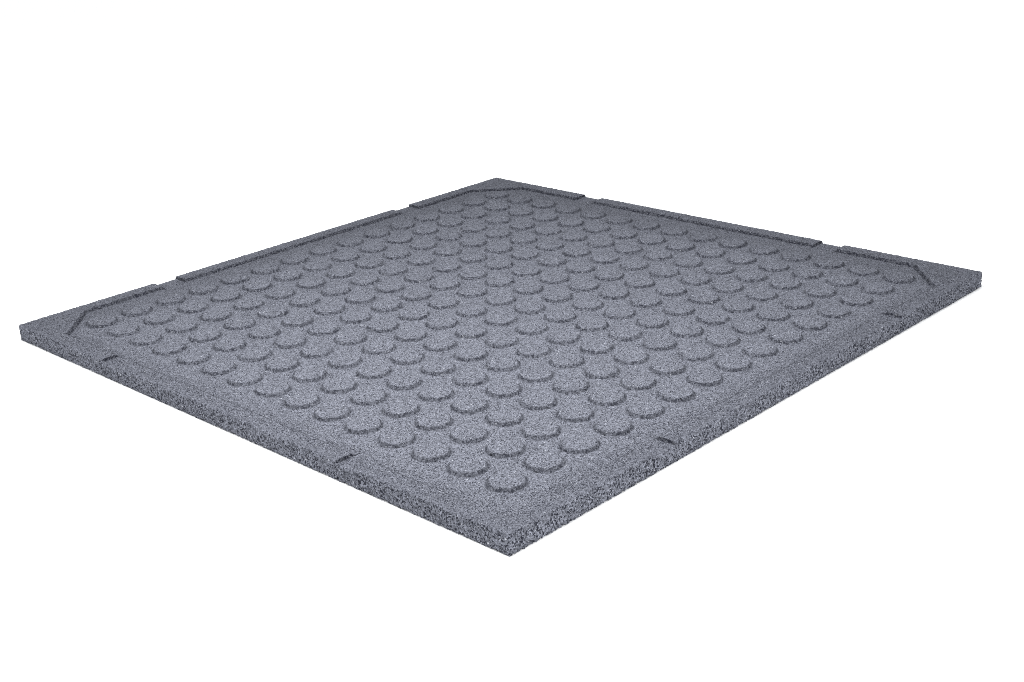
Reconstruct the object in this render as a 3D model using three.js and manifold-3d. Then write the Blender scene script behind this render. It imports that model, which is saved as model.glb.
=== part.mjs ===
// A square floor tile of bonded rubber granulate, moulded in one piece.
// It lies on its smooth face, with the drain side up: a shallow recess inside a raised rim,
// rows of low round studs level with the rim, and gaps through the rim that let water out.
// Millimetres, +Z up. The origin is the middle of the smooth face that the tile lies on.
import * as THREE from "three";
import { mergeVertices } from "three/addons/utils/BufferGeometryUtils.js";
import Module from "manifold-3d";

// Slab
const sideLength = 1000;
const bedThickness = 21; // from the smooth face up to the floor of the recess
const reliefHeight = 4; // rim and studs above that floor
const lowerEdgeRadius = 4;
const upperEdgeRadius = 2.5;
const cornerExtraRadius = 1; // seen from above, the corners are rounder than the edges by this

// Recess and rim
const rimWidth = 25; // across its flat top
const rimDraft = 3.5; // how much further in the foot of the rim's inner wall stands
const cornerCut = 70; // leg of the 45 degree cut across each corner of the recess

// Drain gaps through the rim, two on each side
const gapFromCorner = 250; // to the middle of the gap, along the side
const gapFloorWidth = 38;
const gapDraft = 2; // how much each end of a gap leans back over the rim's height

// Studs
const studPitch = 59;
const studTopDiameter = 38.5;
const studFootDiameter = 46;
const leastChannel = 8; // floor left free between a stud's foot and the rim's foot

// Fineness of the facets
const studFacets = 10;
const cornerFacets = 3;
const edgeFacets = 2;

// What a cutter or a stud reaches past the face that it meets
const overlap = 2;

// Derived sizes
const halfSide = sideLength / 2;
const thickness = bedThickness + reliefHeight;
const cornerRadius = Math.max(lowerEdgeRadius, upperEdgeRadius) + cornerExtraRadius;
const recessHalfAtTop = halfSide - rimWidth;
const recessHalfAtFloor = recessHalfAtTop - rimDraft;
const studFootRadius = studFootDiameter / 2;

const wasm = await Module();
wasm.setup();

// Turns a closed three.js geometry into a solid that can be joined and cut.
function solidOf(geometry) {
  const bare = geometry.index ? geometry.toNonIndexed() : geometry.clone();
  bare.deleteAttribute("normal");
  bare.deleteAttribute("uv");
  const merged = mergeVertices(bare, 1e-4);
  return new wasm.Manifold(
    new wasm.Mesh({
      numProp: 3,
      vertProperties: new Float32Array(merged.attributes.position.array),
      triVerts: new Uint32Array(merged.index.array),
    }),
  );
}

// Turns a solid back into a three.js geometry with flat facets.
function geometryOf(solid) {
  const mesh = solid.getMesh();
  const geometry = new THREE.BufferGeometry();
  geometry.setAttribute("position", new THREE.BufferAttribute(mesh.vertProperties, 3));
  geometry.setIndex(new THREE.BufferAttribute(mesh.triVerts, 1));
  geometry.computeVertexNormals();
  return geometry;
}

// The tile's outline from above: a square with rounded corners, centred on the origin.
function tileOutline() {
  const straight = halfSide - cornerRadius;
  const outline = new THREE.Shape();
  outline.absarc(straight, straight, cornerRadius, 0, Math.PI / 2);
  outline.absarc(-straight, straight, cornerRadius, Math.PI / 2, Math.PI);
  outline.absarc(-straight, -straight, cornerRadius, Math.PI, 1.5 * Math.PI);
  outline.absarc(straight, -straight, cornerRadius, 1.5 * Math.PI, 2 * Math.PI);
  return outline;
}

// A slab of the tile's outline whose two horizontal edges are rounded by edgeRadius.
function roundedSlab(bottom, top, edgeRadius) {
  const slab = new THREE.ExtrudeGeometry(tileOutline(), {
    depth: top - bottom - 2 * edgeRadius,
    curveSegments: cornerFacets,
    bevelThickness: edgeRadius,
    bevelSize: edgeRadius,
    bevelOffset: -edgeRadius,
    bevelSegments: edgeFacets,
  });
  slab.translate(0, 0, bottom + edgeRadius);
  return solidOf(slab);
}

// The full slab. One slab gives the lower edge and runs on upwards, the other gives the upper
// edge and runs on downwards, and the tile is what they share.
function tileSlab() {
  const spare = lowerEdgeRadius + upperEdgeRadius + overlap;
  const withLowerEdge = roundedSlab(0, thickness + spare, lowerEdgeRadius);
  const withUpperEdge = roundedSlab(-spare, thickness, upperEdgeRadius);
  return withLowerEdge.intersect(withUpperEdge);
}

// What the recess leaves free: a square with its corners cut at 45 degrees, whose wall leans
// inwards by rimDraft on its way down to the floor.
function recessCutter() {
  const reach = recessHalfAtTop;
  const near = reach - cornerCut;
  const outline = new THREE.Shape([
    new THREE.Vector2(reach, near),
    new THREE.Vector2(near, reach),
    new THREE.Vector2(-near, reach),
    new THREE.Vector2(-reach, near),
    new THREE.Vector2(-reach, -near),
    new THREE.Vector2(-near, -reach),
    new THREE.Vector2(near, -reach),
    new THREE.Vector2(reach, -near),
  ]);
  const cutter = new THREE.ExtrudeGeometry(outline, {
    depth: overlap,
    bevelThickness: reliefHeight,
    bevelSize: rimDraft,
    bevelOffset: -rimDraft,
    bevelSegments: 1,
  });
  cutter.translate(0, 0, thickness);
  return solidOf(cutter);
}

// What one drain gap leaves free, across the rim of the side at -Y: its section is level with
// the recess floor and opens upwards by gapDraft at each end. It starts outside the tile and
// ends past the foot of the rim's inner wall.
function gapCutter(alongSide, turn) {
  const rise = reliefHeight + overlap;
  const halfFloor = gapFloorWidth / 2;
  const halfTop = halfFloor + (gapDraft * rise) / reliefHeight;
  const section = new THREE.Shape([
    new THREE.Vector2(-halfFloor, 0),
    new THREE.Vector2(halfFloor, 0),
    new THREE.Vector2(halfTop, rise),
    new THREE.Vector2(-halfTop, rise),
  ]);
  const cutter = new THREE.ExtrudeGeometry(section, {
    depth: rimWidth + rimDraft + 2 * overlap,
    bevelEnabled: false,
  });
  cutter.rotateX(Math.PI / 2);
  cutter.translate(alongSide, overlap - recessHalfAtFloor, bedThickness);
  cutter.rotateZ(turn);
  return solidOf(cutter);
}

// Both gaps of all four sides.
function gapCutters() {
  const gapFromMiddle = halfSide - gapFromCorner;
  const cutters = [];
  for (let side = 0; side < 4; side += 1) {
    const turn = (side * Math.PI) / 2;
    cutters.push(gapCutter(-gapFromMiddle, turn));
    cutters.push(gapCutter(gapFromMiddle, turn));
  }
  return cutters;
}

// One stud: a low cone with a flat top, which starts a little below the recess floor.
function stud(x, y) {
  const profile = [
    new THREE.Vector2(0, -overlap),
    new THREE.Vector2(studFootRadius, -overlap),
    new THREE.Vector2(studFootRadius, 0),
    new THREE.Vector2(studTopDiameter / 2, reliefHeight),
    new THREE.Vector2(0, reliefHeight),
  ];
  const shape = new THREE.LatheGeometry(profile, studFacets);
  shape.rotateX(Math.PI / 2);
  shape.translate(x, y, bedThickness);
  return solidOf(shape);
}

// True where a stud's foot keeps clear of the rim's four sides and of its four cut corners.
function studFits(x, y) {
  const reach = studFootRadius + leastChannel;
  const cutLine = 2 * recessHalfAtTop - cornerCut - Math.SQRT2 * rimDraft;
  const clearOfSides = Math.max(Math.abs(x), Math.abs(y)) + reach <= recessHalfAtFloor;
  const clearOfCorner = Math.abs(x) + Math.abs(y) + Math.SQRT2 * reach <= cutLine;
  return clearOfSides && clearOfCorner;
}

// Straight rows of studs along both sides, with one in the middle of the tile.
function studs() {
  const rowsEachWay = Math.floor(recessHalfAtFloor / studPitch);
  const all = [];
  for (let row = -rowsEachWay; row <= rowsEachWay; row += 1) {
    for (let column = -rowsEachWay; column <= rowsEachWay; column += 1) {
      const x = column * studPitch;
      const y = row * studPitch;
      if (studFits(x, y)) {
        all.push(stud(x, y));
      }
    }
  }
  return all;
}

function rubberTile() {
  const cutters = wasm.Manifold.union([recessCutter(), ...gapCutters()]);
  const tray = tileSlab().subtract(cutters);
  const solid = wasm.Manifold.union([tray, ...studs()]);
  const rubber = new THREE.MeshStandardMaterial({
    color: 0x858894,
    roughness: 0.95,
    metalness: 0,
    flatShading: true,
  });
  const mesh = new THREE.Mesh(geometryOf(solid), rubber);
  mesh.name = "rubber_tile";
  return mesh;
}

const group = new THREE.Group();
group.add(rubberTile());

export default group;
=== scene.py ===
import math

import bpy
import numpy as np
from mathutils import Matrix, Vector


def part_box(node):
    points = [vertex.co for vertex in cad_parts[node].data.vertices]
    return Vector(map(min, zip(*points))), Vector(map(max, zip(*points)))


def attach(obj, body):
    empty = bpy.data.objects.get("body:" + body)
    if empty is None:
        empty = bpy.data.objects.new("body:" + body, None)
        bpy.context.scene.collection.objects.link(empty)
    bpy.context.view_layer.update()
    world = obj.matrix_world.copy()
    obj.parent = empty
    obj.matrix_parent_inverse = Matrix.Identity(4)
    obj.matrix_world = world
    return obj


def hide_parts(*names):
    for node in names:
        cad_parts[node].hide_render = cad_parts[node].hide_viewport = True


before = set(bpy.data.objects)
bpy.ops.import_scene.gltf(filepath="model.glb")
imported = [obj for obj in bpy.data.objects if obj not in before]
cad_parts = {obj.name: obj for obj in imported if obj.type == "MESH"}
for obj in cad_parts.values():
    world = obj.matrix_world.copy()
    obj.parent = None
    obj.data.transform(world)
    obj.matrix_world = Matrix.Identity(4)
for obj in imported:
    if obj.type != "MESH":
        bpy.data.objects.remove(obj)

bl_info = {
    "name": "Rubber Floor Tile",
    "version": (1, 0, 0),
    "blender": (4, 5, 0),
    "location": "3D View > Sidebar > Rubber Tile",
    "description": "Dresses a studded tile of bonded rubber granulate and sets its studio",
    "category": "Object",
}

NODE = "rubber_tile"
BODY = "root"
CAD_LOW, CAD_HIGH = (np.array(corner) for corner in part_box(NODE))
HALF_SIDE = float(CAD_HIGH[0])
THICKNESS = float(CAD_HIGH[2])

# Points in one cell of this size are welded. The shift keeps round measures off cell borders.
WELD_STEP = 1e-6
WELD_SHIFT = 0.513

# Seeds of the random draws
STUD_SEED, SKIN_SEED, GRAIN_SEED = 5, 11, 23

# Points along each side of the base, which is flat
BASE_POINTS = 33

# Side grains, in metres. A few are bigger, and so are some of those on the lower edge. A grain
# sinks in by a share of its size, keeps under the rim's top by a margin, and on the lower edge
# follows at least this share of the rounding. Its corners lie at this range of its half size.
GRAIN_COUNT = 20000
GRAIN_LEAST, GRAIN_MOST = 0.0014, 0.0034
BIG_SHARE, BIG_EXTRA = 0.03, 0.0015
CRUMB_SHARE, CRUMB_EXTRA = 0.2, 0.0014
GRAIN_SINK = 0.2
RIM_MARGIN = 0.0005
LEAST_ROUNDING = 0.35
CORNER_LEAST, CORNER_MOST = 0.65, 1.15

# Granule pattern. Lengths are in granule widths, and a granule's chance runs from 0 to 1.
SHAKE, SHAKE_FINENESS = 0.8, 0.9
PIT_BLUR = 0.01
SHOULDER, SEAM, SEAM_DEPTH = 0.3, 0.12, 0.5
DOME_SHARE, TONE_SHARE = 0.6, 0.4
# Chances between which a granule is a bright speck, a painted glint of light
GLINT_FROM, GLINT_TO = 0.985, 0.996

# Soft clouds of tone, as a factor on the colour, and the cloud values between which the
# patches with more missing granules fade in
CLOUD_LEAST, CLOUD_RANGE = 0.9, 0.2
CLOUD_FROM, CLOUD_TO = 0.25, 0.75
PATCH_FROM, PATCH_TO = 0.35, 0.75

# How much of a loose grain's tone comes from the mesh
OWN_TONE = 0.6

# A light faces the floor at this share of its own distance from the middle of the tile
AIM_SHARE = 0.6


def length(name, description, default):
    """A property for a length in metres."""
    return bpy.props.FloatProperty(
        name=name, description=description, default=default, unit="LENGTH", precision=5
    )


def colour(name, description, default):
    """A property for a linear colour."""
    return bpy.props.FloatVectorProperty(
        name=name, description=description, default=default, subtype="COLOR", min=0, max=1
    )


def share(name, description, default, top=1.0):
    """A property for a plain number from 0 to top."""
    return bpy.props.FloatProperty(
        name=name, description=description, default=default, min=0, max=top
    )


def position(name, description, default):
    """A property for a point in metres."""
    return bpy.props.FloatVectorProperty(
        name=name, description=description, default=default, subtype="TRANSLATION"
    )


def bearing(name, description, degrees):
    """A property for an angle, with its default given in degrees."""
    return bpy.props.FloatProperty(
        name=name, description=description, default=math.radians(degrees), subtype="ANGLE"
    )


class RubberTileShape(bpy.types.PropertyGroup):
    """Sizes of the tile's relief and edges, in metres."""

    relief_height: length("Relief height", "Rim and studs above the recess floor", 0.004)
    upper_edge_radius: length("Upper edge radius", "Rounding of the rim's outer edge", 0.0025)
    lower_edge_radius: length("Lower edge radius", "Rounding of the edge on the ground", 0.004)
    corner_radius: length("Corner radius", "Rounding of the corners seen from above", 0.002)
    rim_width: length("Rim width", "Across the flat top of the rim", 0.025)
    rim_draft: length("Rim draft", "How much further in the foot of the rim stands", 0.0035)
    corner_cut: length("Corner cut", "Leg of the cut across each corner of the recess", 0.070)
    gap_from_corner: length("Gap from corner", "Corner to the middle of a drain gap", 0.250)
    gap_floor_width: length("Gap floor width", "Drain gap between its ends' feet", 0.038)
    gap_draft: length("Gap draft", "How much each end of a gap leans back", 0.002)
    stud_pitch: length("Stud pitch", "From stud to stud along a row", 0.059)
    stud_top_diameter: length("Stud top diameter", "Across the flat top of a stud", 0.0385)
    stud_foot_diameter: length("Stud foot diameter", "Across the foot of a stud", 0.046)
    studs_in_row: bpy.props.IntProperty(
        name="Studs in a row", description="Along each side", default=15, min=1
    )
    crumbled_edge: length("Crumbled edge", "Bevel where studs and rim meet flat faces", 0.0009)
    side_margin: length("Side margin", "Grains may stand out of the side skin by this", 0.0004)
    top_margin: length("Top margin", "Grains may stand out of the top skin by this", 0.0003)
    wall_roughness: length("Wall roughness", "How far points of the walls stray", 0.00045)
    face_roughness: length("Face roughness", "How far points of the flat faces stray", 0.00005)
    uneven_studs: length("Uneven studs", "How far the studs' round edges stray", 0.0004)
    stud_steps: bpy.props.IntProperty(
        name="Stud steps", description="Points round a stud, a multiple of 8", default=48
    )
    side_step: length("Side step", "Spacing of the points along the sides", 0.0025)


class RubberTileFinish(bpy.types.PropertyGroup):
    """Colours and grain of the rubber."""

    dark_grain: colour("Dark grain", "The darkest granules", (0.048, 0.0500, 0.0592))
    light_grain: colour("Light grain", "The lightest granules", (0.178, 0.1860, 0.2205))
    # Painted glints: rare bright granules stand in for glints of light on granule facets.
    painted_glint: colour("Speck", "Rare bright granules", (0.34, 0.35, 0.38))
    pit: colour("Pit", "Open gaps between granules", (0.008, 0.0085, 0.013))
    # Painted shade: the faces darken towards the border, where the lamps' light falls off.
    painted_border_shade: share("Border shade", "How much the faces darken towards the border", 0.28)
    # Painted shade: the walls of the relief, and the floor at their feet, are darkened where shade
    # falls.
    painted_wall_shade: share("Wall shade", "How much darker the walls of the relief are", 0.52)
    grain_size: length("Grain size", "Width of a granule on the flat faces", 0.00105)
    coarse_size: length("Coarse grain size", "Width of a granule on walls and sides", 0.0018)
    mottle_size: length("Mottle size", "Width of the soft clouds of tone", 0.010)
    grain_relief: length("Grain relief", "How deep the gaps between granules are", 0.0005)
    painted_glint_strength: share("Speck strength", "How clearly the bright granules show", 0.8)
    pit_strength: share("Pit strength", "How clearly the open gaps show", 0.95)
    bump_strength: share("Bump strength", "Strength of the grain's relief", 0.6)
    fine_gaps: share("Fine gaps", "Share of granules missing on the flat faces", 0.11)
    coarse_gaps: share("Coarse gaps", "Share of granules missing on the sides", 0.22)
    loose_gaps: share("Loose gaps", "Share of granules missing on the side grains", 0.12)
    rim_gaps: share("Rim gaps", "Further share missing on the rim at -X and -Y", 0.08)
    wall_gaps: share("Wall gaps", "Further share missing on the walls of the relief", 0.10)
    fine_patches: share("Fine patches", "Further share missing in patches of the faces", 0.10)
    coarse_patches: share("Coarse patches", "Further share missing in side patches", 0.15)
    # The near and far strips place the painted border shade; the near strip also opens more rim
    # gaps.
    near_border: length("Near border", "Where the dark strip at -X and -Y starts", 0.075)
    near_border_full: length("Near border full", "Where that strip is darkest", 0.008)
    near_border_share: share("Near border share", "How much of the shade it gets", 0.65)
    far_border: length("Far border", "Where the dark strip at +X and +Y starts", 0.15)
    far_border_full: length("Far border full", "Where that strip is darkest", 0.04)
    far_border_share: share("Far border share", "How much of the shade it gets", 0.82)
    far_border_shift: length("Far border shift", "How much narrower it is at +Y", 0.01)
    roughness: share("Roughness", "Roughness of the darkest granules", 0.66)
    roughness_range: share("Roughness range", "How much rougher the lightest ones are", 0.25)
    sheen: share("Sheen", "Strength of the mirrored light", 0.06)
    sheen_colour: colour("Sheen colour", "Colour of the mirrored light", (0.8, 0.85, 1.0))


class RubberTileStudio(bpy.types.PropertyGroup):
    """Floor, lights and camera."""

    floor_colour: colour("Floor", "Colour of the studio floor", (0.97, 0.97, 0.97))
    floor_size: length("Floor size", "Side of the square floor", 16.0)
    sky_colour: colour("Surround colour", "Colour of the light from all round", (0.97, 0.99, 1.0))
    sky_strength: share("Surround light", "Strength of the even light from all round", 1.06, 10)
    lamp_place: position("Lamp place", "Middle of the softbox", (-0.33, -0.17, 1.03))
    lamp_size: length("Lamp size", "Side of the square softbox", 0.7)
    lamp_power: share("Lamp power", "Power of the softbox in watts", 26.5, 500)
    left_fill_place: position(
        "Left fill place", "Middle of the light beside the left face", (-1.7, 0.95, 0.45)
    )
    right_fill_place: position(
        "Right fill place", "Middle of the light beside the right face", (-0.50, -1.7, 0.45)
    )
    front_fill_place: position(
        "Front fill place", "Middle of the light in front of the tile", (-0.95, -1.75, 0.9)
    )
    fill_size: length("Fill size", "Side of each square fill light", 0.8)
    fill_power: share("Fill power", "Power of each light beside the tile in watts", 9.5, 500)
    front_fill_power: share("Front fill power", "Power of the light in front in watts", 10.5, 500)
    camera_place: position(
        "Camera place", "Where the camera stands", (-1.3394, -1.3609, 0.6965)
    )
    camera_heading: bearing(
        "Camera heading", "Direction of view from the +X axis towards +Y", 45.050
    )
    camera_dip: bearing("Camera dip", "How far the camera looks down", 21.184)
    camera_roll: bearing("Camera roll", "How far the camera leans sideways", -3.175)
    lens: bpy.props.FloatProperty(
        name="Lens", description="Focal length on a 36 mm sensor", default=48.64, unit="CAMERA"
    )


GROUPS = {
    "rubber_tile_shape": RubberTileShape,
    "rubber_tile_finish": RubberTileFinish,
    "rubber_tile_studio": RubberTileStudio,
}


def grid_faces(rows, columns, closed=False):
    """Two triangles for each cell of a grid of points numbered row by row.

    With closed, the last point of a row is joined to its first.
    """
    across = columns if closed else columns - 1
    row, column = np.meshgrid(np.arange(rows - 1), np.arange(across), indexing="ij")
    here = row * columns + column
    beside = row * columns + (column + 1) % columns
    lower = np.stack([here, beside, beside + columns], -1)
    upper = np.stack([here, beside + columns, here + columns], -1)
    return np.concatenate([lower.reshape(-1, 3), upper.reshape(-1, 3)])


def seam_faces(inner, outer):
    """Triangles that close the strip between two chains of points.

    inner and outer are the chains' places along the strip, rising and with the same ends. The
    strip is walked along both chains at once, always to whichever next point comes first, and
    each step makes a triangle of the two points reached and the next. The outer chain's points
    are numbered after the inner chain's.
    """
    places = np.concatenate([inner[1:], outer[1:]])
    on_inner = np.arange(len(places)) < len(inner) - 1
    on_inner = on_inner[np.argsort(places, kind="stable")]
    passed_inner = np.cumsum(on_inner) - on_inner
    passed_outer = len(inner) + np.cumsum(~on_inner) - ~on_inner
    ahead = np.where(on_inner, passed_inner, passed_outer) + 1
    return np.stack([passed_inner, passed_outer, ahead], -1)


class Skin:
    """Blocks of points and triangles that close one skin once they are welded.

    Each point has four marks from 0 to 1: crease where the shading has an edge, rough where
    the skin is uneven, side on the tile's side faces, and wall on the walls of the relief and at
    their feet, where the finish paints shade and coarser grain.
    """

    def __init__(self):
        self.points, self.faces, self.marks = [], [], []
        self.count = 0

    def add(self, points, faces, marks=(0, 0, 0, 0), up=True):
        """Adds a block whose faces, seen from above, mostly face up, or down without up."""
        a, b, c = (points[faces[:, k]] for k in range(3))
        area = np.cross((b - a)[:, :2], (c - a)[:, :2]).sum()
        self.faces.append((faces if (area > 0) == up else faces[:, ::-1]) + self.count)
        self.points.append(points)
        self.marks.append(np.broadcast_to(marks, (len(points), 4)))
        self.count += len(points)

    def add_turned(self, points, faces, marks=(0, 0, 0, 0), up=True):
        """Adds a block four times, turned by a quarter each time about the vertical axis."""
        for quarter in range(4):
            c, s = round(math.cos(quarter * math.pi / 2)), round(math.sin(quarter * math.pi / 2))
            turn = np.array([[c, s, 0], [-s, c, 0], [0, 0, 1]])
            self.add(points @ turn, faces, marks, up)

    def weld(self):
        """Points, faces and marks with the points that lie on each other made one."""
        points, marks = np.concatenate(self.points), np.concatenate(self.marks)
        cells = np.floor(points / WELD_STEP + WELD_SHIFT).astype(np.int64)
        first, number = np.unique(cells, axis=0, return_index=True, return_inverse=True)[1:]
        faces = number.ravel()[np.concatenate(self.faces)]
        whole = (faces != np.roll(faces, 1, axis=1)).all(axis=1)
        return points[first], faces[whole], marks[first]


def check_closed(name, faces):
    """Stops the script unless every edge of the skin has one face on each side."""
    edges = np.concatenate([faces[:, [0, 1]], faces[:, [1, 2]], faces[:, [2, 0]]])
    size = faces.max() + 1
    one_way = np.sort(edges[:, 0] * size + edges[:, 1])
    other_way = np.sort(edges[:, 1] * size + edges[:, 0])
    if len(np.unique(one_way)) != len(one_way) or not np.array_equal(one_way, other_way):
        raise RuntimeError(f"the skin of {name} isn't closed")


def new_piece(name, points, faces, material, smooth=True, crease=None, **values):
    """A mesh object at the origin. values are numbers for each point, kept as attributes."""
    mesh = bpy.data.meshes.new(name)
    mesh.vertices.add(len(points))
    mesh.vertices.foreach_set("co", points.astype(np.float32).ravel())
    mesh.loops.add(faces.size)
    mesh.loops.foreach_set("vertex_index", faces.astype(np.int32).ravel())
    mesh.polygons.add(len(faces))
    mesh.polygons.foreach_set("loop_start", np.arange(0, faces.size, 3, dtype=np.int32))
    mesh.polygons.foreach_set("use_smooth", np.full(len(faces), smooth))
    mesh.update(calc_edges=True)
    if crease is not None:
        ends = np.empty(2 * len(mesh.edges), np.int32)
        mesh.edges.foreach_get("vertices", ends)
        sharp = crease[ends].reshape(-1, 2).min(axis=1) > 0.5
        mesh.attributes.new("sharp_edge", "BOOLEAN", "EDGE").data.foreach_set("value", sharp)
    for key, value in values.items():
        attribute = mesh.attributes.new(key, "FLOAT", "POINT")
        attribute.data.foreach_set("value", value.astype(np.float32))
    mesh.materials.append(material)
    piece = bpy.data.objects.new(name, mesh)
    bpy.context.scene.collection.objects.link(piece)
    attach(piece, BODY)
    return piece


class Relief:
    """The tile's sizes, worked out once from the shape settings, and its paths and heights."""

    def __init__(self, shape):
        self.shape = shape
        self.top = THICKNESS - shape.top_margin
        self.floor = THICKNESS - shape.relief_height - shape.top_margin
        self.half = HALF_SIDE - shape.side_margin
        self.straight = self.half - shape.corner_radius
        self.reach = self.straight + shape.corner_radius * math.pi / 4
        self.recess_top = HALF_SIDE - shape.rim_width
        self.recess_foot = self.recess_top - shape.rim_draft
        self.cut_top = 2 * self.recess_top - shape.corner_cut
        self.cut_foot = self.cut_top - math.sqrt(2) * shape.rim_draft
        middle = (shape.studs_in_row - 1) / 2
        self.steps = (np.arange(shape.studs_in_row) - middle) * shape.stud_pitch
        self.field = shape.studs_in_row * shape.stud_pitch / 2
        stud_reach = self.field * 2 - shape.stud_pitch + shape.stud_foot_diameter / math.sqrt(2)
        self.field_cut = (stud_reach + self.cut_foot) / 2
        self.gap_middle = HALF_SIDE - shape.gap_from_corner

    def outer_path(self, along, inset):
        """The rounded square, inset inwards, over the side at +Y.

        along is the length walked from the middle of the side. Past the straight part the path
        is an arc about the corner's centre, up to the diagonal. Where the inset is larger than
        the corner's radius, the corner is sharp.
        """
        past = np.maximum(np.abs(along) - self.straight, 0) / self.shape.corner_radius
        radius = np.maximum(self.shape.corner_radius - inset, 0)
        centre = np.minimum(self.straight, self.half - inset)
        x = np.minimum(np.abs(along), centre) + radius * np.sin(past)
        return np.sign(along) * x, centre + radius * np.cos(past)

    def past_start(self, along, start):
        """How far places lie past the start of a cut: 0 up to it and 1 on the diagonal."""
        return np.clip((np.abs(along) - start) / (self.reach - start), 0, 1)

    def cut_path(self, along, half, cut):
        """A square of the given half side whose corners are cut along x + y = cut.

        The steps that outer_path takes past the start of the cut are spread over half the cut.
        """
        start = cut - half
        past = self.past_start(along, start)
        x = np.minimum(np.abs(along), start) + past * (cut / 2 - start)
        return np.sign(along) * x, half - past * (half - cut / 2)

    def rim_share(self, along):
        """1 along the rim and 0 in its drain gaps, with a smooth ramp over the gap's draft."""
        from_gap = np.abs(np.abs(along) - self.gap_middle) - self.shape.gap_floor_width / 2
        ramp = np.clip(from_gap / self.shape.gap_draft, 0, 1)
        return ramp * ramp * (3 - 2 * ramp)

    def stations(self):
        """Places along a side in even steps, with closer ones where a gap's ends rise.

        The closer ones are given in gap drafts from the foot of a gap's end. Where a cut of the
        recess starts there is one too. Even places too near to any of them are left out.
        """
        shape = self.shape
        even = np.linspace(-self.reach, self.reach, round(2 * self.reach / shape.side_step) + 1)
        ramp = shape.gap_draft * np.array([-0.3, 0, 0.25, 0.5, 0.75, 1, 1.3])
        ramp += shape.gap_floor_width / 2
        ends = [sign * self.gap_middle + side * ramp for sign in (-1, 1) for side in (-1, 1)]
        starts = np.array([self.cut_top - self.recess_top, self.cut_foot - self.recess_foot])
        fixed = np.concatenate([*ends, starts, -starts, even[[0, -1]]])
        apart = np.abs(even[:, None] - fixed[None, :]).min(axis=1) > 0.45 * shape.side_step
        return np.unique(np.concatenate([fixed, even[apart]]))

    def cut_back(self, x, y):
        """Moves points past the field's cut corners straight back to the cut."""
        back = np.maximum(np.abs(x) + np.abs(y) - self.field_cut, 0) / 2
        return x - np.sign(x) * back, y - np.sign(y) * back


def add_studs(skin, relief):
    """The recess floor's square cells, each with its stud.

    Round a stud's middle, ring k has its own distance and height: flat top, crumbled edge, wall
    and foot. The distances run from the top's or the foot's radius, in crumbled edges. The last
    ring lies on the cell's border, at half a pitch over the larger of |cos| and |sin| of the
    angle. The inner rings' distances stray a little round each stud.
    """
    shape = relief.shape
    turn = np.arange(shape.stud_steps) * 2 * math.pi / shape.stud_steps
    edge, rise = shape.crumbled_edge, relief.top - relief.floor
    top, foot = shape.stud_top_diameter / 2, shape.stud_foot_diameter / 2
    distance = np.array([top, top, foot, foot, foot]) + edge * np.array([0, 1.5, -0.4, 0.8, 2.4])
    height = relief.floor + np.array([rise, rise - edge, 0.6 * edge, 0, 0])
    border = shape.stud_pitch / 2 / np.maximum(np.abs(np.cos(turn)), np.abs(np.sin(turn)))
    radius = np.concatenate([np.tile(distance[:, None], len(turn)), border[None, :]])
    middle_x, middle_y = (grid.ravel() for grid in np.meshgrid(relief.steps, relief.steps))
    random = np.random.default_rng(STUD_SEED)
    uneven = random.normal(size=(len(middle_x), 1, len(turn)))
    uneven = (np.roll(uneven, 1, axis=2) + 2 * uneven + np.roll(uneven, -1, axis=2)) / 4
    radius = radius + shape.uneven_studs * uneven * np.array([1, 1, 0.7, 0.5, 0, 0])[:, None]
    x = middle_x[:, None, None] + radius * np.cos(turn)
    y = middle_y[:, None, None] + radius * np.sin(turn)
    x, y = relief.cut_back(x, y)
    z = np.broadcast_to(np.append(height, relief.floor)[:, None], radius.shape)
    rings = np.stack([x, y, z], -1).reshape(len(middle_x), -1, 3)
    middles = np.stack([middle_x, middle_y, np.full(len(middle_x), relief.top)], -1)
    points = np.concatenate([middles[:, None], rings], axis=1)
    first = np.arange(shape.stud_steps)
    fan = np.stack([np.zeros_like(first), 1 + (first + 1) % len(first), 1 + first], -1)
    cell = np.concatenate([fan, 1 + grid_faces(radius.shape[1], len(turn), closed=True)])
    each = np.arange(len(middle_x))[:, None, None] * points.shape[1]
    # The wall mark sets painted shade on a stud's wall and, at the foot ring, on the floor round
    # its foot; it also coarsens the grain and opens more gaps there.
    ring_marks = [
        (1, 0.6, 0, 0), (0, 1, 0, 0.7), (0, 1, 0, 0.75), (1, 0.8, 0, 0.35),
        (0, 0, 0, 0), (0, 0, 0, 0),
    ]
    marks = np.concatenate([[(0, 0, 0, 0)], np.repeat(ring_marks, len(turn), axis=0)])
    skin.add(
        points.reshape(-1, 3), (cell[None] + each).reshape(-1, 3),
        np.tile(marks, (len(middle_x), 1)),
    )


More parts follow.
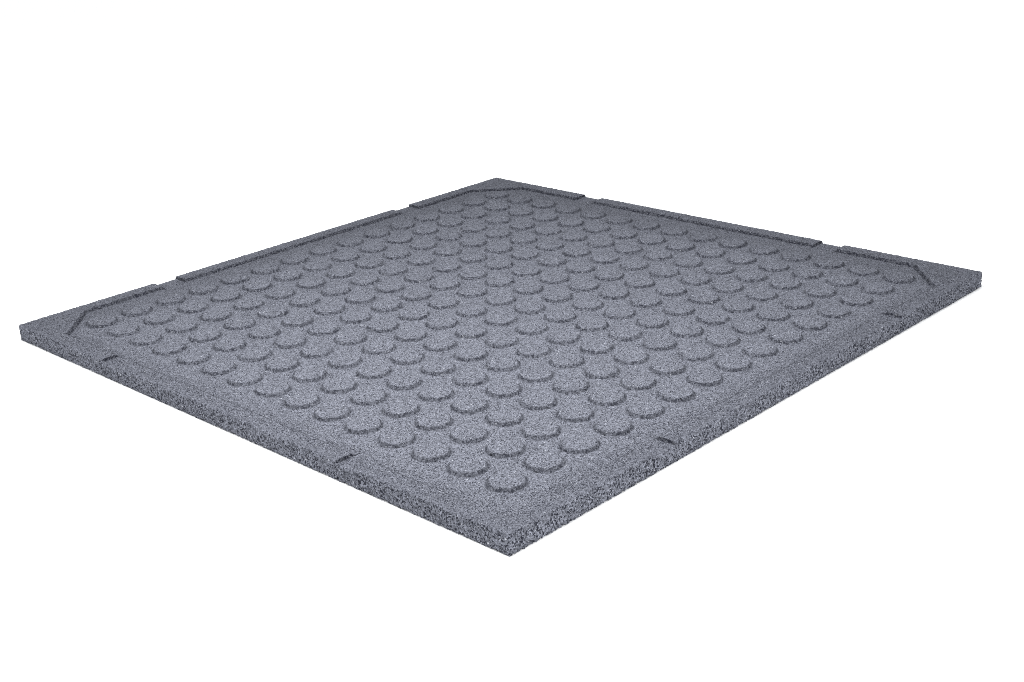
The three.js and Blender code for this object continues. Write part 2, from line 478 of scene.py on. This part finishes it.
def rim_rows(relief, along):
    """The rings of the rim, sides and lower edge over the side at +Y, from the inside outwards.

    Each ring is a path from above and a height. An inside ring has its path's half side and
    cut, a shift outwards in crumbled edges, its height over the floor and its marks. At angle a
    of a rounding of radius r, the upper edge is inset by r (1 - sin a) and lowered by
    r (1 - cos a), and the lower edge is inset by r (1 - cos a) at the height r (1 - sin a).
    Heights inside the recess and on top of the rim shrink to the floor in a gap, and those of
    the upper edge sink by the rim's height. One more ring runs along the middle of the rim's
    top. Marks are given for each point of each ring. Up to the rim's outer edge, wall fades out
    in the gaps and rises on their sloping ends.
    """
    shape, rim = relief.shape, relief.rim_share(along)
    edge, rise = shape.crumbled_edge, relief.top - relief.floor
    foot, top = (relief.recess_foot, relief.cut_foot), (relief.recess_top, relief.cut_top)
    # The wall mark sets painted shade on the rim's inner wall and on the floor at its foot; it
    # also coarsens the grain and opens more gaps there.
    inside = (
        (foot, -3.0, 0, (0, 0, 0, 0)),
        (foot, -1.0, 0, (1, 0.7, 0, 0.8)),
        (foot, 0.4, 0.6 * edge, (0, 1, 0, 1)),
        (top, -0.3, rise - 0.9 * edge, (0, 1, 0, 0.8)),
        (top, 1.0, rise, (1, 0.4, 0, 0)),
    )
    rows, marks = [], []
    for (half, cut), shift, height, mark in inside:
        x, y = relief.cut_path(along, half + shift * edge, cut + shift * edge)
        rows.append(np.stack([x, y, relief.floor + height * rim], -1))
        marks.append(mark)
    outside = []
    upper, lower = shape.upper_edge_radius, shape.lower_edge_radius
    level = np.ones_like(along)
    for angle in np.radians([0, 30, 60, 90]):
        height = relief.top - (upper * (1 - math.cos(angle)) + rise * (1 - rim))
        side = 0.35 + 0.65 * angle * 2 / math.pi
        outside.append((upper * (1 - math.sin(angle)), height, (angle == 0, side, side, 0)))
    for part in (0.8, 0.6, 0.4, 0.2, 0):
        height = lower + part * (relief.floor - upper - lower) * level
        outside.append((0, height, (0, 1, 1, 0)))
    for angle, crease in zip(np.radians([30, 60, 90]), (0, 0, 1)):
        height = lower * (1 - math.sin(angle)) * level
        outside.append((lower * (1 - math.cos(angle)), height, (crease, 1, 1, 0)))
    for inset, height, mark in outside:
        x, y = relief.outer_path(along, inset)
        rows.append(np.stack([x, y, height], -1))
        marks.append(mark)
    inner_edge, outer_edge = len(inside) - 1, len(inside)
    rows.insert(outer_edge, (rows[inner_edge] + rows[outer_edge]) / 2)
    marks.insert(outer_edge, (0, 0, 0, 0))
    marks = np.repeat(np.array(marks, float)[:, None], len(along), axis=1)
    wall = marks[:outer_edge + 2, :, 3]
    slope = np.abs(np.gradient(rim, along)) * rise
    wall[:] = np.maximum(wall * rim, np.clip(slope, 0, 1))
    return np.stack(rows), marks


def add_seam(skin, inner, outer, inner_place, outer_place, up):
    """Closes the strip between two chains on each side of the tile.

    The places rise along the chains from minus to plus their own last value.
    """
    points = np.concatenate([inner, outer])
    faces = seam_faces(inner_place / inner_place[-1], outer_place / outer_place[-1])
    skin.add_turned(points, faces, up=up)


def add_rim(skin, relief):
    """Rim, sides and lower edge, and the strips that join them to the floor and the base."""
    shape = relief.shape
    along = relief.stations()
    rows, marks = rim_rows(relief, along)
    skin.add_turned(
        rows.reshape(-1, 3), grid_faces(len(rows), len(along)), marks.reshape(-1, 4)
    )

    quarter = np.linspace(-math.pi / 4, math.pi / 4, shape.stud_steps // 4 + 1)
    border = (relief.steps[:, None] + shape.stud_pitch / 2 * np.tan(quarter)[None, :-1]).ravel()
    border = np.append(border, relief.field)
    x, y = relief.cut_back(border, np.full_like(border, relief.field))
    chain = np.stack([x, y, np.full_like(x, relief.floor)], -1)
    start = relief.cut_foot - relief.recess_foot
    past = relief.past_start(along, start) * (relief.field - start)
    place = np.sign(along) * (np.minimum(np.abs(along), start) + past)
    add_seam(skin, chain, rows[0], border, place, up=True)

    base_half = relief.half - 4 * shape.lower_edge_radius
    base = np.linspace(-base_half, base_half, BASE_POINTS)
    base_x, base_y = np.meshgrid(base, base)
    base_points = np.stack([base_x, base_y, np.zeros_like(base_x)], -1)
    skin.add(base_points.reshape(-1, 3), grid_faces(len(base), len(base)), up=False)
    add_seam(skin, base_points[-1], rows[-1], base, along, up=False)


def inside_box(points):
    """Points held inside the tile's own box."""
    return np.clip(points, CAD_LOW, CAD_HIGH)


def random_turns(random, count):
    """count rotation matrices, even over all directions, from unit quaternions."""
    quaternions = random.normal(size=(4, count))
    w, x, y, z = quaternions / np.linalg.norm(quaternions, axis=0)
    return np.stack([
        np.stack([1 - 2 * (y * y + z * z), 2 * (x * y - z * w), 2 * (x * z + y * w)], -1),
        np.stack([2 * (x * y + z * w), 1 - 2 * (x * x + z * z), 2 * (y * z - x * w)], -1),
        np.stack([2 * (x * z - y * w), 2 * (y * z + x * w), 1 - 2 * (x * x + y * y)], -1),
    ], 1)


def grain_places(random, shape):
    """Places and sizes of the side grains.

    They are drawn evenly along a side and over its height, then turned by quarters to all four
    sides. On a rounding of radius r, a grain at distance d past its start is inset by
    r - sqrt(r^2 - d^2). On the lower edge it follows only a share of that, so the edge is
    ragged. Those above the rim's top, or above the floor of a gap, are left out.
    """
    relief = Relief(shape)
    upper, lower = shape.upper_edge_radius, shape.lower_edge_radius
    along = random.uniform(-relief.reach, relief.reach, GRAIN_COUNT)
    height = random.uniform(0, 1, GRAIN_COUNT) * relief.top
    size = random.uniform(GRAIN_LEAST, GRAIN_MOST, GRAIN_COUNT)
    size += BIG_EXTRA * (random.uniform(0, 1, GRAIN_COUNT) > 1 - BIG_SHARE)
    crumb = random.uniform(0, 1, GRAIN_COUNT) > 1 - CRUMB_SHARE
    size += CRUMB_EXTRA * (crumb & (height < lower))
    rim_top = relief.floor + (relief.top - relief.floor) * relief.rim_share(along)
    over = np.clip(height - (rim_top - upper), 0, upper)
    under = np.clip(lower - height, 0, lower)
    rounding = random.uniform(LEAST_ROUNDING, 1, GRAIN_COUNT)
    inset = upper - np.sqrt(upper**2 - over**2)
    inset += (lower - np.sqrt(lower**2 - under**2)) * rounding
    x, y = relief.outer_path(along, inset + GRAIN_SINK * size)
    under_rim = height < rim_top - RIM_MARGIN
    x, y, z, size = x[under_rim], y[under_rim], height[under_rim], size[under_rim]
    turn = random.integers(0, 4, len(size)) * math.pi / 2
    c, s = np.cos(turn), np.sin(turn)
    return np.stack([c * x - s * y, s * x + c * y, z], -1), size


def grains(random, places, sizes):
    """Points, faces and tones of eight-sided grains at the given places.

    Each grain is an octahedron whose six corners lie at their own distance from the middle,
    turned at random.
    """
    axes = np.array([[1, 0, 0], [-1, 0, 0], [0, 1, 0], [0, -1, 0], [0, 0, 1], [0, 0, -1]])
    upper_half = [[0, 2, 4], [2, 1, 4], [1, 3, 4], [3, 0, 4]]
    lower_half = [[2, 0, 5], [1, 2, 5], [3, 1, 5], [0, 3, 5]]
    stretch = random.uniform(CORNER_LEAST, CORNER_MOST, (len(places), len(axes), 1))
    turned = np.einsum("gij,kj->gki", random_turns(random, len(places)), axes)
    points = places[:, None] + turned * stretch * sizes[:, None, None] / 2
    each = len(axes) * np.arange(len(places))[:, None, None]
    faces = np.array(upper_half + lower_half) + each
    tones = np.repeat(random.uniform(0, 1, len(places)), len(axes))
    return points.reshape(-1, 3), faces.reshape(-1, 3), tones


class Socket:
    """A shader output that can be added, multiplied and so on, with a Math node for each step."""

    def __init__(self, tree, socket):
        self.tree, self.socket = tree, socket

    def math(self, operation, *others, swap=False):
        """A Math node fed by this output and the others, or by the others first with swap."""
        values = (*others, self) if swap else (self, *others)
        return self.tree.add("ShaderNodeMath", {"operation": operation}, dict(enumerate(values)))

    def __add__(self, other):
        return self.math("ADD", other)

    def __sub__(self, other):
        return self.math("SUBTRACT", other)

    def __rsub__(self, other):
        return self.math("SUBTRACT", other, swap=True)

    def __mul__(self, other):
        return self.math("MULTIPLY", other)

    __radd__, __rmul__ = __add__, __mul__

    def ramp(self, low, high):
        """0 at low and 1 at high, smooth between, whichever of them is larger."""
        return self.tree.add(
            "ShaderNodeMapRange", {"interpolation_type": "SMOOTHSTEP"},
            {"Value": self, "From Min": low, "From Max": high, "To Min": 0.0, "To Max": 1.0},
        )


class Finish:
    """A material's node tree, with one Principled shader."""

    def __init__(self, name):
        self.material = bpy.data.materials.new(name)
        self.material.use_nodes = True
        self.nodes, self.links = self.material.node_tree.nodes, self.material.node_tree.links
        self.shader = self.nodes["Principled BSDF"]

    def add(self, kind, settings=None, sockets=None, output=0):
        """A node of that kind, with its settings set first and then its sockets."""
        node = self.nodes.new(kind)
        for key, value in (settings or {}).items():
            setattr(node, key, value)
        for key, value in (sockets or {}).items():
            self.set(node.inputs[key], value)
        return Socket(self, node.outputs[output])

    def set(self, place, value):
        """Links a socket, or sets a plain value."""
        if isinstance(value, Socket):
            self.links.new(value.socket, place)
        else:
            place.default_value = value

    def mix(self, amount, first, second):
        """The first colour where amount is 0 and the second where it is 1."""
        first, second = (
            tint if isinstance(tint, Socket) else (*tint, 1) for tint in (first, second)
        )
        return self.add(
            "ShaderNodeMix", {"data_type": "RGBA"}, {0: amount, 6: first, 7: second}, 2
        )

    def brighten(self, tint, factor):
        """A colour times a number."""
        return self.add(
            "ShaderNodeVectorMath", {"operation": "SCALE"}, {0: tint, "Scale": factor}
        )


def granules(tree, place, size, missing):
    """Tone, pits, height and specks of one size of granules: the cells of a Voronoi pattern.

    The coordinates are shaken first, so that the cells' edges aren't straight. Each cell has its
    own tone, and one whose chance is under the share of missing granules is a pit. The height is
    a dome over each cell, which is higher where the tone is lighter and sunk in a pit. The seams
    between granules count as shallow pits. A cell of the highest chances is a bright speck, a
    painted glint of light.
    """
    wobble = tree.add(
        "ShaderNodeTexNoise", {},
        {"Vector": place, "Scale": SHAKE_FINENESS / size, "Detail": 1.0}, 1,
    )
    centred = tree.add(
        "ShaderNodeVectorMath", {"operation": "SUBTRACT"}, {0: wobble, 1: (0.5,) * 3}
    )
    shaken = tree.add(
        "ShaderNodeVectorMath", {"operation": "MULTIPLY_ADD"},
        {0: centred, 1: (SHAKE * size,) * 3, 2: place},
    )
    cells = {"Vector": shaken, "Scale": 1 / size, "Randomness": 1.0}
    tint = tree.add("ShaderNodeTexVoronoi", {"feature": "F1"}, cells, 1)
    edge = tree.add("ShaderNodeTexVoronoi", {"feature": "DISTANCE_TO_EDGE"}, cells)
    tone = tree.add("ShaderNodeSeparateColor", {}, {0: tint}, 0)
    chance = tree.add("ShaderNodeSeparateColor", {}, {0: tint}, 1)
    pit = (missing - chance).ramp(-PIT_BLUR, PIT_BLUR)
    height = (edge.ramp(0.0, SHOULDER) * DOME_SHARE + tone * TONE_SHARE) * (1 - pit)
    # Painted glints: granules of the highest chances are bright specks standing in for glints of
    # light.
    painted_glint = chance.ramp(GLINT_FROM, GLINT_TO)
    seam = (1 - edge.ramp(0.0, SEAM)) * SEAM_DEPTH
    return tone, pit.math("MAXIMUM", seam), height, painted_glint


def rubber_finish(name, finish, loose):
    """Bonded granulate: fine granules on the moulded faces, coarser ones on walls and sides.

    A few granules are bright specks, painted glints of light, and some are missing and leave dark
    pits, more of them in patches, on the walls and on the sides. Painted shade darkens the walls,
    and painted shade darkens the faces towards the tile's border, where the lamps' light falls
    off, over a narrow strip at -X and -Y and a wide one at +X and +Y. Loose grains have fine
    granules only and take part of their tone from the mesh.
    """
    tree = Finish(name)
    place = tree.add("ShaderNodeTexCoord", output=3)
    clouds = tree.add(
        "ShaderNodeTexNoise", {}, {"Vector": place, "Scale": 1 / finish.mottle_size, "Detail": 3.0}
    )
    if loose:
        own_tone = tree.add("ShaderNodeAttribute", {"attribute_name": "tone"}, {}, 2)
        tone, pit, height, painted_glint = granules(tree, place, finish.grain_size, finish.loose_gaps)
        tone = tone * (1 - OWN_TONE) + own_tone * OWN_TONE
        painted_shade = 1.0
    else:
        side = tree.add("ShaderNodeAttribute", {"attribute_name": "side"}, {}, 2)
        wall = tree.add("ShaderNodeAttribute", {"attribute_name": "wall"}, {}, 2)
        x, y = (tree.add("ShaderNodeSeparateXYZ", {}, {0: place}, k) for k in range(2))
        # Painted shade towards the border, standing in for the lamps' light falling off there; the
        # near strip also opens more rim gaps.
        near_border = (x.math("MINIMUM", y) * -1).ramp(
            HALF_SIDE - finish.near_border, HALF_SIDE - finish.near_border_full
        )
        far_border = x.math("MAXIMUM", y - finish.far_border_shift).ramp(
            HALF_SIDE - finish.far_border, HALF_SIDE - finish.far_border_full
        )
        border = (near_border * finish.near_border_share).math(
            "MAXIMUM", far_border * finish.far_border_share
        )
        # Painted shade: the border strips and the walls darken the colour.
        painted_shade = (1 - border * (1 - side) * finish.painted_border_shade) * (1 - wall * finish.painted_wall_shade)
        patches = clouds.ramp(PATCH_FROM, PATCH_TO)
        fine_gaps = patches * finish.fine_patches + near_border * finish.rim_gaps
        coarse_gaps = patches * finish.coarse_patches + wall * finish.wall_gaps
        fine = granules(tree, place, finish.grain_size, fine_gaps + finish.fine_gaps)
        coarse = granules(tree, place, finish.coarse_size, coarse_gaps + finish.coarse_gaps)
        open_grain = wall.math("MAXIMUM", side)
        tone, pit, height, painted_glint = (a + (b - a) * open_grain for a, b in zip(fine, coarse))
    rubber = tree.mix(tone, finish.dark_grain, finish.light_grain)
    rubber = tree.mix(painted_glint * finish.painted_glint_strength, rubber, finish.painted_glint)
    cloudy = clouds.ramp(CLOUD_FROM, CLOUD_TO) * CLOUD_RANGE + CLOUD_LEAST
    rubber = tree.brighten(rubber, cloudy * painted_shade)
    rubber = tree.mix(pit * finish.pit_strength, rubber, finish.pit)
    bump = tree.add(
        "ShaderNodeBump", {},
        {"Strength": finish.bump_strength, "Distance": finish.grain_relief, "Height": height},
    )
    inputs = tree.shader.inputs
    tree.set(inputs["Base Color"], rubber)
    tree.set(inputs["Roughness"], tone * finish.roughness_range + finish.roughness)
    tree.set(inputs["Normal"], bump)
    tree.set(inputs["Specular IOR Level"], finish.sheen)
    tree.set(inputs["Specular Tint"], (*finish.sheen_colour, 1))
    return tree.material


def add_softbox(name, place, size, power):
    """A square area light, turned to a point of the floor between it and the tile's middle."""
    lamp = bpy.data.lights.new(name, "AREA")
    lamp.size = size
    lamp.energy = power
    box = bpy.data.objects.new(name, lamp)
    box.location = place
    aim = Vector((place[0], place[1], 0)) * AIM_SHARE - Vector(place)
    box.rotation_euler = aim.to_track_quat("-Z", "Y").to_euler()
    bpy.context.scene.collection.objects.link(box)


class RUBBERTILE_OT_tile(bpy.types.Operator):
    """Builds the tile as one closed skin with its rim, drain gaps and round studs"""

    bl_idname = "rubber_tile.tile"
    bl_label = "Tile"

    def execute(self, context):
        shape = context.scene.rubber_tile_shape
        skin, relief = Skin(), Relief(shape)
        add_studs(skin, relief)
        add_rim(skin, relief)
        points, faces, marks = skin.weld()
        crease, rough, side, wall = marks.T
        check_closed("the tile", faces)
        # Each point strays by a normal draw, more where the skin is marked rough
        random = np.random.default_rng(SKIN_SEED)
        stray = shape.face_roughness + (shape.wall_roughness - shape.face_roughness) * rough
        points = inside_box(points + random.normal(size=points.shape) * stray[:, None])
        rubber = rubber_finish("moulded granulate", context.scene.rubber_tile_finish, loose=False)
        tile = new_piece("tile_body", points, faces, rubber, crease=crease, side=side, wall=wall)
        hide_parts(NODE)
        return {"FINISHED"}


class RUBBERTILE_OT_side_grains(bpy.types.Operator):
    """Sets loose and half-bonded grains into the four side faces and their edges"""

    bl_idname = "rubber_tile.side_grains"
    bl_label = "Side grains"

    def execute(self, context):
        random = np.random.default_rng(GRAIN_SEED)
        places, sizes = grain_places(random, context.scene.rubber_tile_shape)
        points, faces, tone = grains(random, places, sizes)
        rubber = rubber_finish("side granulate", context.scene.rubber_tile_finish, loose=True)
        new_piece("side_grains", inside_box(points), faces, rubber, smooth=False, tone=tone)
        return {"FINISHED"}


class RUBBERTILE_OT_studio(bpy.types.Operator):
    """Sets a pale floor, soft light and the camera"""

    bl_idname = "rubber_tile.studio"
    bl_label = "Studio"

    def execute(self, context):
        scene, studio = context.scene, context.scene.rubber_tile_studio
        half = studio.floor_size / 2
        square = np.array([[-half, -half, 0], [half, -half, 0], [half, half, 0], [-half, half, 0]])
        mesh = bpy.data.meshes.new("studio_floor")
        mesh.from_pydata(square.tolist(), [], [(0, 1, 2, 3)])
        paint = Finish("studio floor")
        paint.shader.inputs["Base Color"].default_value = (*studio.floor_colour, 1)
        paint.shader.inputs["Roughness"].default_value = 0.9
        mesh.materials.append(paint.material)
        floor = bpy.data.objects.new("studio_floor", mesh)
        scene.collection.objects.link(floor)

        world = bpy.data.worlds.new("studio")
        world.use_nodes = True
        surround = world.node_tree.nodes["Background"]
        surround.inputs["Color"].default_value = (*studio.sky_colour, 1)
        surround.inputs["Strength"].default_value = studio.sky_strength
        scene.world = world

        add_softbox("softbox", studio.lamp_place, studio.lamp_size, studio.lamp_power)
        add_softbox("left_fill", studio.left_fill_place, studio.fill_size, studio.fill_power)
        add_softbox("right_fill", studio.right_fill_place, studio.fill_size, studio.fill_power)
        add_softbox(
            "front_fill", studio.front_fill_place, studio.fill_size, studio.front_fill_power
        )

        camera = bpy.data.cameras.new("camera")
        camera.sensor_width = 36
        camera.lens = studio.lens
        camera.clip_start, camera.clip_end = 0.05, 100
        heading, dip, roll = studio.camera_heading, studio.camera_dip, studio.camera_roll
        ahead = Vector((
            math.cos(heading) * math.cos(dip), math.sin(heading) * math.cos(dip), -math.sin(dip)
        ))
        holder = bpy.data.objects.new("camera", camera)
        level = ahead.to_track_quat("-Z", "Y").to_matrix().to_4x4()
        holder.matrix_world = (
            Matrix.Translation(studio.camera_place) @ level @ Matrix.Rotation(roll, 4, "Z")
        )
        scene.collection.objects.link(holder)
        scene.camera = holder
        scene.view_settings.view_transform = "Standard"
        scene.cycles.use_denoising = False
        scene.cycles.filter_width = 0.95
        return {"FINISHED"}


STEPS = (RUBBERTILE_OT_tile, RUBBERTILE_OT_side_grains, RUBBERTILE_OT_studio)


class RUBBERTILE_PT_panel(bpy.types.Panel):
    """Lists the sizes, the finish, the studio and the steps"""

    bl_idname = "RUBBERTILE_PT_panel"
    bl_label = "Rubber Tile"
    bl_space_type = "VIEW_3D"
    bl_region_type = "UI"
    bl_category = "Rubber Tile"

    def draw(self, context):
        for group in GROUPS:
            settings = getattr(context.scene, group)
            box = self.layout.box()
            for key in settings.__annotations__:
                box.prop(settings, key)
        for step in STEPS:
            self.layout.operator(step.bl_idname)


CLASSES = (*GROUPS.values(), *STEPS, RUBBERTILE_PT_panel)


def register():
    for item in CLASSES:
        bpy.utils.register_class(item)
    for name, group in GROUPS.items():
        setattr(bpy.types.Scene, name, bpy.props.PointerProperty(type=group))


def unregister():
    for name in GROUPS:
        delattr(bpy.types.Scene, name)
    for item in reversed(CLASSES):
        bpy.utils.unregister_class(item)


def main():
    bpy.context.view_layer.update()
    register()
    bpy.ops.rubber_tile.tile()
    bpy.ops.rubber_tile.side_grains()
    bpy.ops.rubber_tile.studio()


if __name__ == "__main__":
    main()
